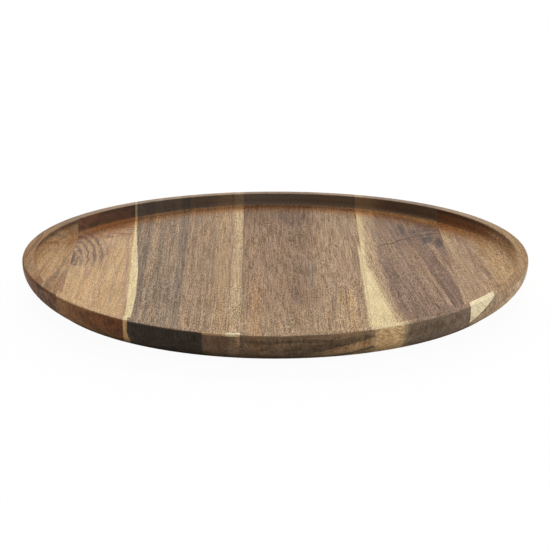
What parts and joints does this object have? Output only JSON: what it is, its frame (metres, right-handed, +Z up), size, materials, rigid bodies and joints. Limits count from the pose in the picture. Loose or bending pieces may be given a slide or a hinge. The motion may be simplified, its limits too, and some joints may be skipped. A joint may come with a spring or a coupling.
{
  "type": "charger plate",
  "caption": "Round turned wooden charger plate of edge-glued staves, with a raised lip around a shallow flat well that takes a dinner plate.",
  "frame": {"origin": "centre of the flat foot, on the turning axis, where the plate rests", "axes": "+Z up along the turning axis, out of the well; the grain and the glue lines run along Y, and the front faces -Y"},
  "size_m": [0.33, 0.33, 0.0225],
  "materials": {
    "golden_wood": "oiled, golden tan with grey streaks",
    "honey_wood": "oiled, honey tan with a cut knot",
    "taupe_wood": "oiled, grey-brown with a cream sapwood edge",
    "russet_wood": "oiled, reddish brown",
    "plum_wood": "oiled, cream sapwood running into purple-brown heartwood",
    "tan_wood": "oiled, light tan",
    "cured_glue": "thin cured wood glue, sanded flush"
  },
  "bodies": {
    "root": {"left_end_stave": "golden_wood", "second_stave": "honey_wood", "third_stave": "taupe_wood", "fourth_stave": "russet_wood", "fifth_stave": "plum_wood", "right_end_stave": "tan_wood", "first_glue_line": "cured_glue", "second_glue_line": "cured_glue", "third_glue_line": "cured_glue", "fourth_glue_line": "cured_glue", "fifth_glue_line": "cured_glue"}
  },
  "joints": []
}
